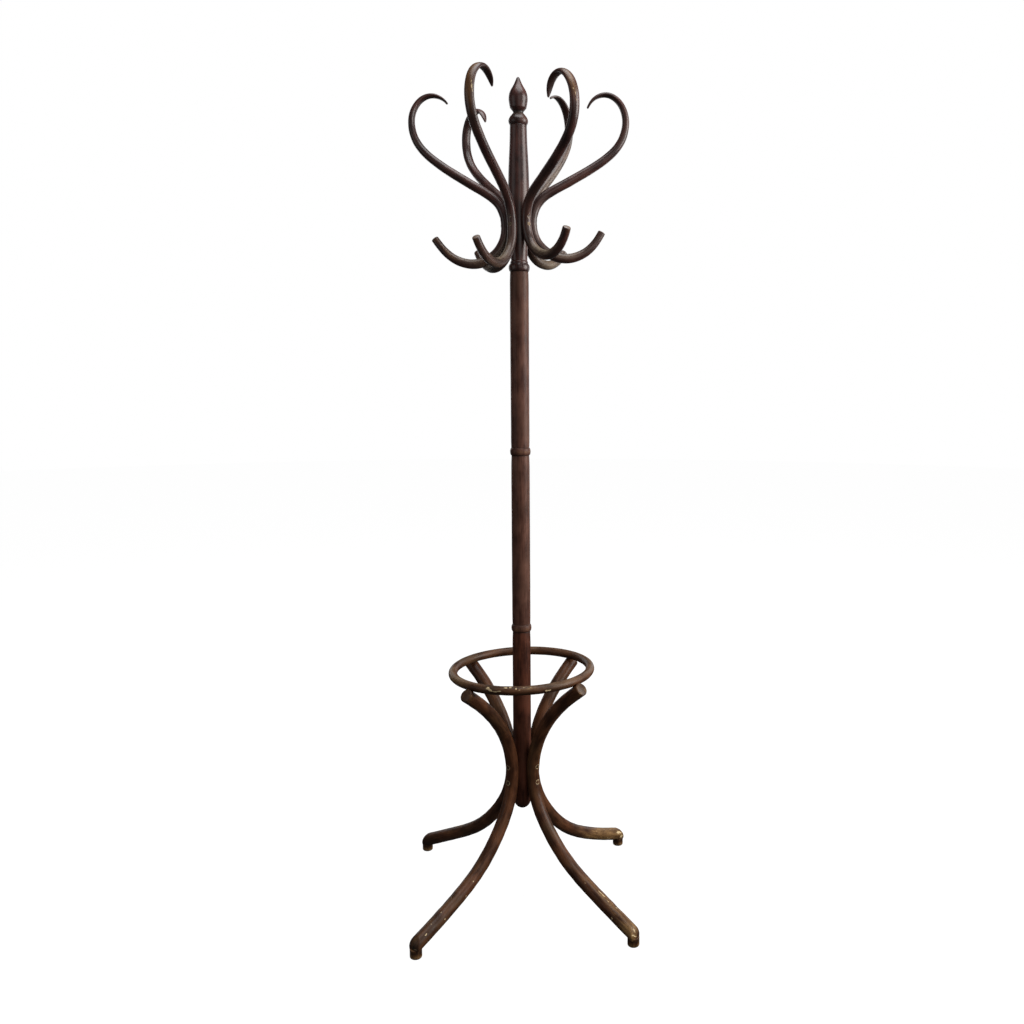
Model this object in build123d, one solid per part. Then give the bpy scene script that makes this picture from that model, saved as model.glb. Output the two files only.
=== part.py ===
from build123d import *
import math
import os

import numpy as np

# Standing coat rack in bent and turned beech. Everything is in millimetres.
# The stand rests on Z = 0 with the pole's axis on Z, and its front faces -Y.
# Azimuths are degrees anticlockwise from +X, seen from above.

# ---- Driving dimensions ---------------------------------------------------------------
HEIGHT = 1960.0

# Turned pole: plain radius, bead radius, and the heights of the three beads.
POLE_R = 21.9
BEAD_R = 24.2
BEAD_HALF = 8.5
BEAD_TOP, BEAD_MID, BEAD_LOW = 1540.0, 1116.0, 690.0
POLE_TOP = 1855.5
POLE_BOTTOM = 233.0
POLE_END_R = 20.3

# Turned dowels that join the sections, and the finial's tenon.
DOWEL_R, DOWEL_LENGTH = 10.0, 64.0
TENON_R, TENON_LENGTH = 7.0, 32.0

# Hooks: the rod's centre line as (distance from the axis, height), from tip to lower end.
HOOK_LINE = [
    (138.1, 1888.2), (153.4, 1918.7), (185.9, 1931.6), (220.2, 1909.6), (224.7, 1835.2),
    (183.3, 1784.8), (134.3, 1749.2), (90.0, 1720.5), (42.9, 1679.2), (30.9, 1641.4),
    (40.9, 1591.1), (102.1, 1553.1), (163.2, 1574.9), (195.7, 1618.3),
]
HOOK_WAIST = (31.8, 1640.0)
HOOK_BEND_REACH = 90.0
HOOK_D = 22.3
HOOK_TIP_D = 4.5
HOOK_END_D = 17.0
END_STEP = 0.3
TIP_TAPER_DEPTH, TIP_TAPER_WIDTH = 125.0, 19.0
END_TAPER = 120.0

# Each hook was bent by hand, so each opens a little more or less than the next:
# azimuth, turn of the upper and of the lower bend, sideways lean (degrees),
# lift, and what is cut off the tip and off the lower end (millimetres).
HOOKS = {
    "hook_right": (2.8, -3.6, 2.4, 0.1, 6.8, 11.1, 11.2),
    "hook_back_right": (51.3, 11.3, 12.0, 1.8, -12.0, 51.0, 55.0),
    "hook_back_left": (123.5, -0.9, 0.1, 0.6, -4.8, 11.0, 26.3),
    "hook_left": (177.7, -2.9, -5.1, 4.5, 0.4, 26.0, 2.6),
    "hook_front_left": (240.0, 7.2, -4.9, 0.2, -5.0, 18.3, 17.2),
    "hook_front_right": (302.9, -3.0, 5.7, 5.1, -0.6, 0.5, 28.0),
}
HOOK_SCREW_HEIGHTS = (1634.0, 1653.0)
HOOK_SCREW_LENGTH, HOOK_SCREW_D, HOOK_SCREW_HEAD_D = 33.0, 3.6, 7.0
HOOK_FACE_R = min(r for r, z in HOOK_LINE) + HOOK_D / 2

# Legs: the centre line from the top end, in to the pole and out to the toe.
LEG_LINE = [
    (191.2, 564.1), (147.3, 531.4), (99.6, 485.7), (60.5, 429.5), (39.2, 369.8), (35.7, 330.1),
    (44.3, 276.2), (89.6, 194.9), (159.1, 126.9), (253.8, 75.2), (298.5, 56.0), (347.4, 37.0),
]
LEG_WAIST = (35.0, 331.0)
LEG_BEND_REACH = 120.0
LEG_D, LEG_TOP_D, LEG_TOE_D = 30.6, 31.5, 32.6
TOE_PAST_FOOT, NOSE_SPARE = 16.9, 0.5

# Azimuth, the foot's distance from the axis, how far the arch and the top end rise,
# and the turn of the upper bend (degrees).
LEGS = {
    "back_right": (44.3, 369.4, -3.4, -2.5, 2.5),
    "back_left": (135.0, 369.3, 9.3, 7.0, 0.2),
    "front_left": (226.7, 350.4, 1.1, -3.3, 1.5),
    "front_right": (316.3, 347.6, 6.9, 7.5, 0.5),
}
LEG_SCREW_HEIGHTS = (310.0, 352.0)
LEG_SCREW_LENGTH, LEG_SCREW_D, LEG_SCREW_HEAD_D = 32.0, 5.0, 9.0
PLUG_R, PLUG_DEPTH = 5.0, 7.0

# Umbrella hoop, resting in a notch on top of each leg, a little low on the left
# and at the front.
HOOP_R, HOOP_D, HOOP_Z = 166.2, 20.9, 585.0
HOOP_TILT, HOOP_LEAN = -1.3, 0.2
HOOP_SCREW_LENGTH, HOOP_SCREW_D, HOOP_SCREW_HEAD_D = 34.0, 4.0, 8.0

# Foot buttons.
FOOT_R, FOOT_HEIGHT, FOOT_ROUND = 13.8, 22.5, 4.5
FOOT_SCREW_LENGTH, FOOT_SCREW_D, FOOT_SCREW_HEAD_D, FOOT_SCREW_SINK = 32.0, 4.0, 8.0, 4.0


# ---- Shapes shared by the pieces ------------------------------------------------------
def turned(outline):
    """Solid of revolution from a closed outline of (radius, height)."""
    return revolve(Plane.XZ * make_face(outline), Axis.Z)


def stations(points, count, cut_start=0.0, cut_end=0.0):
    """Points and directions at even steps on the natural cubic spline through the points."""
    knots = np.array(points)
    gap = np.hypot(*np.diff(knots, axis=0).T)
    along = np.concatenate([[0.0], np.cumsum(gap)])
    matrix, target = np.eye(len(knots)), np.zeros_like(knots)
    slope = np.diff(knots, axis=0) / gap[:, None]
    for i in range(1, len(knots) - 1):
        matrix[i, i - 1:i + 2] = gap[i - 1], 2 * (gap[i - 1] + gap[i]), gap[i]
        target[i] = 6 * (slope[i] - slope[i - 1])
    bend = np.linalg.solve(matrix, target)
    result = []
    for s in np.linspace(cut_start, along[-1] - cut_end, count):
        k = min(int(np.searchsorted(along, s, "right")) - 1, len(gap) - 1)
        a, b, h = along[k + 1] - s, s - along[k], gap[k]
        place = (
            (bend[k] * a**3 + bend[k + 1] * b**3) / (6 * h)
            + (knots[k] / h - bend[k] * h / 6) * a
            + (knots[k + 1] / h - bend[k + 1] * h / 6) * b
        )
        direction = (
            (bend[k + 1] * b**2 - bend[k] * a**2) / (2 * h)
            + slope[k] - (bend[k + 1] - bend[k]) * h / 6
        )
        result.append((s - cut_start, place, direction / np.hypot(*direction)))
    return result


def section_plane(place, direction):
    """Plane across a rod that is bent in the XZ plane; its local X runs sideways."""
    return Plane(
        origin=(place[0], 0, place[1]), x_dir=(0, 1, 0), z_dir=(direction[0], 0, direction[1])
    )


def dome(start_r, start_z, top_z):
    """Arc from a rim to the axis, on a sphere whose centre is on the axis."""
    rise = top_z - start_z
    sphere_r = (start_r**2 + rise**2) / (2 * rise)
    sweep = math.degrees(math.asin(start_r / sphere_r))
    return CenterArc((0, top_z - sphere_r), sphere_r, 90 - sweep, sweep)


def rounded_end(radius, edge, crown):
    """Button that closes a rod's cut end: a rounded edge and a slightly crowned face."""
    side = CenterArc((radius - edge, 0), edge, 0, 90)
    face = dome(radius - edge, edge, edge + crown)
    return turned(side + face + Polyline(face @ 1, (0, 0), side @ 0))


def toe_nose(radius):
    """Carved toe: the rod runs on and is rounded over the top, down to its underside."""
    reach = 2 * radius + NOSE_SPARE
    body = Pos(0, 0, reach / 2) * Cylinder(radius, reach)
    return body & Pos(0, -radius, 0) * Sphere(reach)


def bent_rod(line, size, make_start, make_end):
    """Rod along a line of stations; size gives its width and depth at each distance.

    make_start and make_end give the ends for a radius. They stand a hair inside the
    rod's outline, as a sanded end does.
    """
    length = line[-1][0]
    sections, ends = [], []
    for distance, place, direction in line:
        width, depth = size(distance, length)
        sections.append(section_plane(place, direction) * Ellipse(width / 2, depth / 2))
        ends.append((place, direction, depth / 2))
    rod = loft(sections)
    (p0, d0, r0), (p1, d1, r1) = ends[0], ends[-1]
    start = section_plane(p0, -d0) * make_start(r0 - END_STEP)
    end = section_plane(p1, d1) * make_end(r1 - END_STEP)
    return rod + start + end


def wood_screw(length, shank_d, head_d):
    """Slotted countersunk screw, head up at Z = 0, pointing down."""
    r, head_r = shank_d / 2, head_d / 2
    cone = head_r - r
    outline = Polyline(
        (0, 0), (head_r, 0), (head_r, -0.8), (r, -0.8 - cone), (r, -length + 2 * r), (0, -length),
        close=True,
    )
    slot = Pos(0, 0, -0.4) * Box(head_d + 1, 1.1, 0.8)
    return turned(outline) - slot


def screw_hole(length, shank_d, head_d, depth=0.0):
    """What a wood screw takes out of the wood, with the bore that lets its head in."""
    r, head_r = shank_d / 2, head_d / 2
    outline = Polyline(
        (0, depth), (head_r, depth), (head_r, -0.8), (r, -0.8 - (head_r - r)),
        (r, -length + 2 * r), (0, -length), close=True,
    )
    return turned(outline)


def inward(azimuth, distance, height):
    """Place a shape that points down its own -Z so that it points at the pole's axis."""
    return Rot(0, 0, azimuth) * Pos(distance, 0, height) * Rot(0, 90, 0)


def export(name, shape):
    """Write one node. A group of equal pieces arrives as a list."""
    solids = [s for item in (shape if isinstance(shape, list) else [shape]) for s in item.solids()]
    whole = solids[0] if len(solids) == 1 else Compound(children=solids)
    whole.label = name
    export_step(whole, f"parts/{name}.step")
    print(name, len(solids), "solids", round(sum(s.volume for s in solids)), "mm3")


# ---- Pole -----------------------------------------------------------------------------
def bead_arc(height, above_r, below_r, bead_r=BEAD_R):
    """Half-round bead, drawn from its upper edge to its lower edge."""
    return ThreePointArc((above_r, height + BEAD_HALF), (bead_r, height), (below_r, height - BEAD_HALF))


def closed_outline(pieces, top, bottom):
    """Close a turned outline along the axis."""
    outline = pieces[0]
    for piece in pieces[1:]:
        outline = outline + piece
    rim = Polyline(pieces[-1] @ 1, (0, bottom), (0, top), pieces[0] @ 0)
    return outline + rim


def dowel(seam):
    """Turned dowel that joins two pole sections at a seam."""
    length = DOWEL_LENGTH
    return Pos(0, 0, seam) * chamfer(Cylinder(DOWEL_R, length).edges(), 1.5)


def pole_top_section():
    """Swelling for the hooks, slim above and below it, with the first bead at its foot."""
    swell = Spline(
        (19.3, POLE_TOP), (20.1, 1819), (22.7, 1767), (24.0, 1715), (22.6, 1640), (20.2, 1590),
        (18.8, 1556),
    )
    step = Polyline(swell @ 1, (20.4, 1554), (20.4, BEAD_TOP + BEAD_HALF))
    bead = bead_arc(BEAD_TOP, 20.4, 20.6)
    body = turned(closed_outline([swell, step, bead], POLE_TOP, seam_below(BEAD_TOP)))
    return body - Pos(0, 0, POLE_TOP - TENON_LENGTH / 2) * Cylinder(TENON_R, TENON_LENGTH)


def seam_below(bead):
    """Height of the seam right under a bead."""
    return bead - BEAD_HALF


def pole_section(top, bead):
    """Plain section that hangs from one seam and ends in the next bead."""
    neck = Spline((21.0, top), (21.3, top - 6), (POLE_R, top - 32))
    side = Line(neck @ 1, (POLE_R, bead + 26))
    waist = Spline(side @ 1, (21.6, bead + 14), (21.3, bead + BEAD_HALF))
    arc = bead_arc(bead, 21.3, 21.0)
    return turned(closed_outline([neck, side, waist, arc], top, seam_below(bead)))


def pole_lower_section(top):
    """Last section, tapering to a rounded end that hangs clear of the floor."""
    neck = Spline((21.0, top), (21.3, top - 6), (POLE_R, top - 32))
    side = Line(neck @ 1, (POLE_R, 300))
    end_centre = POLE_BOTTOM + POLE_END_R
    taper = Spline(side @ 1, (21.4, 275), (POLE_END_R, end_centre))
    end = CenterArc((0, end_centre), POLE_END_R, 0, -90)
    close = Polyline(end @ 1, (0, top), neck @ 0)
    return turned(neck + side + taper + end + close)


def finial():
    """Collar, neck and flame-shaped bulb, with the tenon that holds it."""
    collar = Spline((19.0, POLE_TOP), (21.8, 1861), (22.2, 1866), (20.3, 1871), (11.9, 1881.5))
    neck = Spline(collar @ 1, (11.7, 1884), (14.8, 1888.5), (18.6, 1893))
    bulb = Spline(
        neck @ 1, (20.4, 1902), (21.6, 1911.5), (20.5, 1922), (16.6, 1932), (11.2, 1941),
        (7.0, 1949.5), (3.6, 1957.6),
    )
    tip = dome(3.6, 1957.6, HEIGHT)
    tenon = Polyline(
        tip @ 1, (0, POLE_TOP - TENON_LENGTH), (TENON_R, POLE_TOP - TENON_LENGTH),
        (TENON_R, POLE_TOP), collar @ 0,
    )
    return turned(collar + neck + bulb + tip + tenon)


# ---- Hooks ----------------------------------------------------------------------------
def hook_size(cut_end):
    """Width and depth of a hook's rod: fine at the tip, full at the waist, slimmer at the end."""
    def size(distance, length):
        width = HOOK_TIP_D + (HOOK_D - HOOK_TIP_D) * (1 - math.exp(-distance / TIP_TAPER_WIDTH))
        depth = HOOK_TIP_D + (HOOK_D - HOOK_TIP_D) * (1 - math.exp(-distance / TIP_TAPER_DEPTH))
        near_end = max(0.0, 1 - (length + cut_end - distance) / END_TAPER)
        slimming = (HOOK_D - HOOK_END_D) * near_end
        return width - slimming + 0.05, depth - slimming
    return size


def opened(points, top_turn, bottom_turn):
    """Turn the upper and the lower bend about the waist, which stays upright at the pole."""
    result = []
    for r, z in points:
        dr, dz = r - HOOK_WAIST[0], z - HOOK_WAIST[1]
        share = min(1.0, math.hypot(dr, dz) / HOOK_BEND_REACH)
        turn = math.radians(top_turn if dz > 0 else bottom_turn) * share
        result.append((
            HOOK_WAIST[0] + dr * math.cos(turn) - dz * math.sin(turn),
            HOOK_WAIST[1] + dr * math.sin(turn) + dz * math.cos(turn),
        ))
    return result


def hook(azimuth, top_turn, bottom_turn, sway, lift, tip_cut, end_cut):
    """One S-shaped hook, bent in a plane through the pole's axis."""
    line = stations(opened(HOOK_LINE, top_turn, bottom_turn), 38, tip_cut, end_cut)
    rod = bent_rod(
        line, hook_size(end_cut), lambda r: rounded_end(r, 0.5, 0.8), lambda r: rounded_end(r, 2.5, 0.8)
    )
    pivot = Pos(0, 0, HOOK_WAIST[1])
    return Rot(0, 0, azimuth) * Pos(0, 0, lift) * pivot * Rot(sway, 0, 0) * pivot.inverse() * rod


# ---- Legs, hoop and feet --------------------------------------------------------------
def leg_line(reach, arch, top_rise, top_turn):
    """The leg's line up to its nose, stretched to its foot, with its own arch and upper bend."""
    nose = LEG_TOE_D + NOSE_SPARE
    stretch = (reach + TOE_PAST_FOOT - nose - LEG_WAIST[0]) / (LEG_LINE[-1][0] - LEG_WAIST[0])
    result = []
    for r, z in LEG_LINE:
        if z < LEG_WAIST[1] - 5:
            share = (r - LEG_WAIST[0]) / (LEG_LINE[-1][0] - LEG_WAIST[0])
            z += arch * 4 * share * (1 - share)
            r = LEG_WAIST[0] + (r - LEG_WAIST[0]) * stretch
        else:
            dr, dz = r - LEG_WAIST[0], z - LEG_WAIST[1]
            turn = math.radians(top_turn) * min(1.0, math.hypot(dr, dz) / LEG_BEND_REACH)
            rise = top_rise * max(0.0, z - 400) / (LEG_LINE[0][1] - 400)
            r = LEG_WAIST[0] + dr * math.cos(turn) - dz * math.sin(turn)
            z = LEG_WAIST[1] + dr * math.sin(turn) + dz * math.cos(turn) + rise
        result.append((r, z))
    return result


def leg_size(distance, length):
    """Round rod, thickest at the waist."""
    waist = 0.42 * length
    if distance < waist:
        d = LEG_TOP_D + (LEG_D - LEG_TOP_D) * distance / waist
    else:
        d = LEG_D + (LEG_TOE_D - LEG_D) * (distance - waist) / (length - waist)
    return d + 0.05, d


def leg(azimuth, reach, arch, top_rise, top_turn):
    """One leg before it is fitted to its neighbours."""
    line = stations(leg_line(reach, arch, top_rise, top_turn), 36)
    rod = bent_rod(line, leg_size, lambda r: rounded_end(r, 3.0, 1.0), toe_nose)
    return Rot(0, 0, azimuth) * rod


def foot(azimuth, reach):
    """Turned button; its top sits in a flat seat cut under the toe."""
    button = Pos(0, 0, FOOT_HEIGHT / 2) * Cylinder(FOOT_R, FOOT_HEIGHT)
    button = fillet(button.edges().group_by(Axis.Z)[0], FOOT_ROUND)
    return Rot(0, 0, azimuth) * Pos(reach, 0, 0) * button


def hoop():
    """The hoop that umbrellas stand in."""
    ring = revolve(Plane.XZ * Pos(HOOP_R, 0) * Rot(0, 0, 270) * Circle(HOOP_D / 2), Axis.Z)
    return Pos(0, 0, HOOP_Z) * Rot(HOOP_LEAN, 0, 0) * Rot(0, HOOP_TILT, 0) * ring


def hoop_screw_place(azimuth):
    """The screw goes straight up through the leg's end into the hoop's underside."""
    x = HOOP_R * math.cos(math.radians(azimuth))
    y = HOOP_R * math.sin(math.radians(azimuth))
    rise = y * math.tan(math.radians(HOOP_LEAN)) - x * math.tan(math.radians(HOOP_TILT))
    tip = HOOP_Z + rise + 2
    return Rot(0, 0, azimuth) * Pos(HOOP_R, 0, tip - HOOP_SCREW_LENGTH) * Rot(180, 0, 0)


def foot_screw_place(azimuth, reach):
    """The screw goes up through the button into the toe."""
    return Rot(0, 0, azimuth) * Pos(reach, 0, FOOT_SCREW_SINK) * Rot(180, 0, 0)


# ---- Assembly -------------------------------------------------------------------------
def cut_all(body, tools):
    """Take every tool out of a body."""
    for tool in tools:
        body = body - tool
    return body


def build_head(top):
    """Hooks fitted to the top section, and their screws. Returns the bored section."""
    screws = []
    for name, (azimuth, *shape) in HOOKS.items():
        places = [inward(azimuth, HOOK_FACE_R - 0.6, z) for z in HOOK_SCREW_HEIGHTS]
        size = (HOOK_SCREW_LENGTH, HOOK_SCREW_D, HOOK_SCREW_HEAD_D)
        screws += [place * wood_screw(*size) for place in places]
        holes = [place * screw_hole(*size, depth=6) for place in places]
        export(name, cut_all(hook(azimuth, *shape) - top, holes))
        top = cut_all(top, holes)
    export("hook_screws", screws)
    return top


def build_base(low):
    """Legs fitted to the pole, hoop and feet, with their fixings. Returns the bored pole."""
    ring = hoop()
    leg_screws, plugs, hoop_screws, foot_screws = [], [], [], []
    leg_screw = (LEG_SCREW_LENGTH, LEG_SCREW_D, LEG_SCREW_HEAD_D)
    hoop_screw = (HOOP_SCREW_LENGTH, HOOP_SCREW_D, HOOP_SCREW_HEAD_D)
    foot_screw = (FOOT_SCREW_LENGTH, FOOT_SCREW_D, FOOT_SCREW_HEAD_D)
    face_r = LEG_WAIST[0] + LEG_D / 2
    bored_ring = ring
    for side, (azimuth, reach, *bends) in LEGS.items():
        rod = leg(azimuth, reach, *bends)
        button = foot(azimuth, reach)
        places = [inward(azimuth, face_r - PLUG_DEPTH, z) for z in LEG_SCREW_HEIGHTS]
        leg_screws += [place * wood_screw(*leg_screw) for place in places]
        bores = [place * Pos(0, 0, 10) * Cylinder(PLUG_R, 20) for place in places]
        plugs += [bore & rod for bore in bores]
        holes = [place * screw_hole(*leg_screw) for place in places]
        up = hoop_screw_place(azimuth)
        hoop_screws.append(up * wood_screw(*hoop_screw))
        hoop_hole = up * screw_hole(*hoop_screw, depth=20)
        below = foot_screw_place(azimuth, reach)
        foot_screws.append(below * wood_screw(*foot_screw))
        foot_hole = below * screw_hole(*foot_screw, depth=FOOT_SCREW_SINK + 1)
        fitted = cut_all(rod - low - ring - button, bores + holes + [hoop_hole, foot_hole])
        export(f"leg_{side}", fitted)
        export(f"foot_{side}", button - foot_hole)
        bored_ring = bored_ring - hoop_hole
        low = cut_all(low, holes)
    export("umbrella_hoop", bored_ring)
    export("leg_screws", leg_screws)
    export("leg_plugs", plugs)
    export("hoop_screws", hoop_screws)
    export("foot_screws", foot_screws)
    return low


def main():
    os.makedirs("parts", exist_ok=True)
    seams = [seam_below(bead) for bead in (BEAD_TOP, BEAD_MID, BEAD_LOW)]
    dowels = [dowel(seam) for seam in seams]
    top = pole_top_section() - dowels[0]
    upper = pole_section(seams[0], BEAD_MID) - dowels[0] - dowels[1]
    middle = pole_section(seams[1], BEAD_LOW) - dowels[1] - dowels[2]
    low = pole_lower_section(seams[2]) - dowels[2]
    export("finial", finial())
    export("pole_top", build_head(top))
    export("pole_upper", upper)
    export("pole_middle", middle)
    export("pole_lower", build_base(low))
    for place, piece in zip(("upper", "middle", "lower"), dowels):
        export(f"pole_dowel_{place}", piece)


main()
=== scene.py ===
import bpy
import math

import numpy as np
from mathutils import Matrix


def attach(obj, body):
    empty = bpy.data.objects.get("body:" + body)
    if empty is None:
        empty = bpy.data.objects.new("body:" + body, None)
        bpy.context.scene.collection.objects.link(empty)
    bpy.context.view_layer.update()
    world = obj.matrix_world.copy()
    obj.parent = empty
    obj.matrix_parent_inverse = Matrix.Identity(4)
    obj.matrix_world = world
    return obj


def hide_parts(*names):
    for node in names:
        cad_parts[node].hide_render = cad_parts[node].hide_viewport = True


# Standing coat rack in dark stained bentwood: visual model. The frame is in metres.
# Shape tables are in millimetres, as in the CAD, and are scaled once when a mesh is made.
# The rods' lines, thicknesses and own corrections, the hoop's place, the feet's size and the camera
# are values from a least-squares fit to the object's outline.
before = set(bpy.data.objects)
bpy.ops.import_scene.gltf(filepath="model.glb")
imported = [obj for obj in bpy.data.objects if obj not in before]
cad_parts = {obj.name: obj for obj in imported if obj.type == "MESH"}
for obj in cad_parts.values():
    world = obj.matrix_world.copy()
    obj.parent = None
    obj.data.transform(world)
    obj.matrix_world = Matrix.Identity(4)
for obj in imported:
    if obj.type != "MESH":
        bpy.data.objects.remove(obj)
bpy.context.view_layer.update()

MM = 0.001
TAU = 2 * math.pi

# Mesh fineness: distances between rings along a rod, and points round each kind of piece.
ROD_STEP, FINE_STEP, FINE_LEAD = 2.0, 0.7, 1.5
HOOK_FACETS, LEG_FACETS, POLE_FACETS, FOOT_FACETS = 56, 64, 112, 64
HOOP_FACETS, HOOP_STATIONS, PLUG_FACETS, STAGE_FACETS = 40, 720, 40, 96

# How far each seed moves a piece's grain in the stain's space, and how far along the hoop's is.
ROD_GRAIN, TURNED_GRAIN, PLUG_GRAIN = (31.0, 17.0, 410.0), (23.0, 11.0, 370.0), (7.0, 0, 90.0)
HOOP_GRAIN = 5200

# ---- Shapes, as in the CAD ------------------------------------------------------------
HEIGHT = 1960.0
POLE_R, BEAD_R, BEAD_HALF = 21.9, 24.2, 8.5
BEAD_TOP, BEAD_MID, BEAD_LOW = 1540.0, 1116.0, 690.0
POLE_TOP, POLE_BOTTOM, POLE_END_R = 1855.5, 233.0, 20.3

HOOK_LINE = [
    (138.1, 1888.2), (153.4, 1918.7), (185.9, 1931.6), (220.2, 1909.6), (224.7, 1835.2),
    (183.3, 1784.8), (134.3, 1749.2), (90.0, 1720.5), (42.9, 1679.2), (30.9, 1641.4),
    (40.9, 1591.1), (102.1, 1553.1), (163.2, 1574.9), (195.7, 1618.3),
]
HOOK_WAIST = (31.8, 1640.0)
HOOK_BEND_REACH = 90.0
HOOK_D, HOOK_TIP_D, HOOK_END_D = 22.3, 4.5, 17.0
TIP_TAPER_DEPTH, TIP_TAPER_WIDTH, END_TAPER = 125.0, 19.0, 120.0
# Azimuth, turns of the upper and the lower bend, sideways lean, lift, cuts at the tip and lower end.
HOOKS = {
    "hook_right": (2.8, -3.6, 2.4, 0.1, 6.8, 11.1, 11.2),
    "hook_back_right": (51.3, 11.3, 12.0, 1.8, -12.0, 51.0, 55.0),
    "hook_back_left": (123.5, -0.9, 0.1, 0.6, -4.8, 11.0, 26.3),
    "hook_left": (177.7, -2.9, -5.1, 4.5, 0.4, 26.0, 2.6),
    "hook_front_left": (240.0, 7.2, -4.9, 0.2, -5.0, 18.3, 17.2),
    "hook_front_right": (302.9, -3.0, 5.7, 5.1, -0.6, 0.5, 28.0),
}
HOOK_SCREW_HEIGHTS = (1634.0, 1653.0)
HOOK_SCREW_SPAN = (0.45, 0.78)

LEG_LINE = [
    (191.2, 564.1), (147.3, 531.4), (99.6, 485.7), (60.5, 429.5), (39.2, 369.8), (35.7, 330.1),
    (44.3, 276.2), (89.6, 194.9), (159.1, 126.9), (253.8, 75.2), (298.5, 56.0), (347.4, 37.0),
]
LEG_WAIST, LEG_BEND_REACH = (35.0, 331.0), 120.0
LEG_D, LEG_TOP_D, LEG_TOE_D = 30.6, 31.5, 32.6
TOE_PAST_FOOT, NOSE_SPARE, NOSE_SOFTENING = 16.9, 0.5, 4
NOSE_SHARES = (0.93, 0.86, 0.78, 0.68, 0.56, 0.43, 0.3, 0.17, 0.06)
# Azimuth, the foot's distance from the axis, rise of the arch and of the top, turn of the upper bend.
LEGS = {
    "back_right": (44.3, 369.4, -3.4, -2.5, 2.5),
    "back_left": (135.0, 369.3, 9.3, 7.0, 0.2),
    "front_left": (226.7, 350.4, 1.1, -3.3, 1.5),
    "front_right": (316.3, 347.6, 6.9, 7.5, 0.5),
}
LEG_SCREW_HEIGHTS = (310.0, 352.0)
LEG_SCREW_SPAN = (0.2, 0.6)
PLUG_R = 5.0

HOOP_R, HOOP_D, HOOP_Z = 166.2, 20.9, 585.0
HOOP_TILT, HOOP_LEAN = -1.3, 0.2
FOOT_R, FOOT_HEIGHT, FOOT_ROUND = 13.8, 22.5, 4.5


# ---- Curves ---------------------------------------------------------------------------
def spline_at(points, distances):
    """Points and directions at the given distances along the natural cubic spline."""
    knots = np.array(points)
    gap = np.hypot(*np.diff(knots, axis=0).T)
    along = np.concatenate([[0.0], np.cumsum(gap)])
    matrix, target = np.eye(len(knots)), np.zeros_like(knots)
    slope = np.diff(knots, axis=0) / gap[:, None]
    for i in range(1, len(knots) - 1):
        matrix[i, i - 1:i + 2] = gap[i - 1], 2 * (gap[i - 1] + gap[i]), gap[i]
        target[i] = 6 * (slope[i] - slope[i - 1])
    bend = np.linalg.solve(matrix, target)
    k = np.clip(np.searchsorted(along, distances, "right") - 1, 0, len(gap) - 1)
    a = (along[k + 1] - distances)[:, None]
    b = (distances - along[k])[:, None]
    h = gap[k][:, None]
    place = (
        (bend[k] * a**3 + bend[k + 1] * b**3) / (6 * h)
        + (knots[k] / h - bend[k] * h / 6) * a
        + (knots[k + 1] / h - bend[k + 1] * h / 6) * b
    )
    way = (bend[k + 1] * b**2 - bend[k] * a**2) / (2 * h) + slope[k] - (bend[k + 1] - bend[k]) * h / 6
    return place, way / np.hypot(*way.T)[:, None]


def line_length(points):
    return float(np.hypot(*np.diff(np.array(points), axis=0).T).sum())


def curve(points, step=1.5):
    """Turned profile through the points, as (radius, height) rows."""
    length = line_length(points)
    return spline_at(points, np.linspace(0, length, max(4, int(length / step))))[0]


def steps(length, fine):
    """Distances along a rod, closer together inside the fine span."""
    low, high = fine
    places, at = [0.0], 0.0
    while at < length:
        inside = low - FINE_LEAD <= at <= high
        at = min(length, at + (FINE_STEP if inside else ROD_STEP))
        places.append(at)
    return np.array(places)


def passing(line, start, heights, span):
    """Distances along a line, after its start, where it passes heights within a share of its length."""
    s = np.linspace(*(line_length(line) * share for share in span), 400)
    z = spline_at(line, s)[0][:, 1]
    return [float(s[np.argmin(np.abs(z - height))]) - start for height in heights]


# ---- Surface marks --------------------------------------------------------------------
# Of these marks, the third darkens real grime and also paints shade in creases, under beads and where parts
# meet; the fourth lays real dust and also a painted reflection and a painted highlight.
MARKS = ("wear", "chip", "dirt", "dust", "end")


def blank(shape):
    return {name: np.zeros(shape) for name in MARKS}


def window(value, centre, width):
    return np.exp(-((value - centre) / width) ** 2)


def turn_window(angle, centre, width):
    """Like window, for angles in degrees."""
    return np.exp(-(((angle - centre + 180) % 360 - 180) / width) ** 2)


def add_patches(patches, s, angle, marks):
    """Local marks, as (kind, distance along, place round the section, their sizes, depth)."""
    for kind, at, side, long, wide, depth in patches:
        marks[kind] += depth * window(s, at, long) * turn_window(angle, side, wide)


def from_spot(s, angle, at, diameter):
    """Distance over a rod's surface from a spot on its outer face."""
    return np.hypot(s - at, (((angle - 90 + 180) % 360) - 180) / 360 * math.pi * diameter)


def ripple(seed, s, angle, reach):
    """Smooth wandering between about -1 and 1 over a rod's surface."""
    rng = np.random.default_rng(seed)
    total = np.zeros_like(s)
    for _ in range(6):
        wave = rng.uniform(0.5, 2.2) / reach
        turns = rng.integers(0, 3)
        total += np.sin(TAU * wave * s + turns * np.radians(angle) + rng.uniform(0, TAU))
    return total / 3


# ---- Meshes ---------------------------------------------------------------------------
def shade_smooth(mesh):
    mesh.polygons.foreach_set("use_smooth", np.ones(len(mesh.polygons), bool))


def write_fields(mesh, grain, values):
    """Store the grain's place and the surface marks on a mesh's points."""
    field = mesh.attributes.new("wood", "FLOAT_VECTOR", "POINT")
    field.data.foreach_set("vector", np.array(grain, np.float32).ravel())
    for key in MARKS:
        field = mesh.attributes.new(key, "FLOAT", "POINT")
        field.data.foreach_set("value", np.array(values[key], np.float32))


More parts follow.
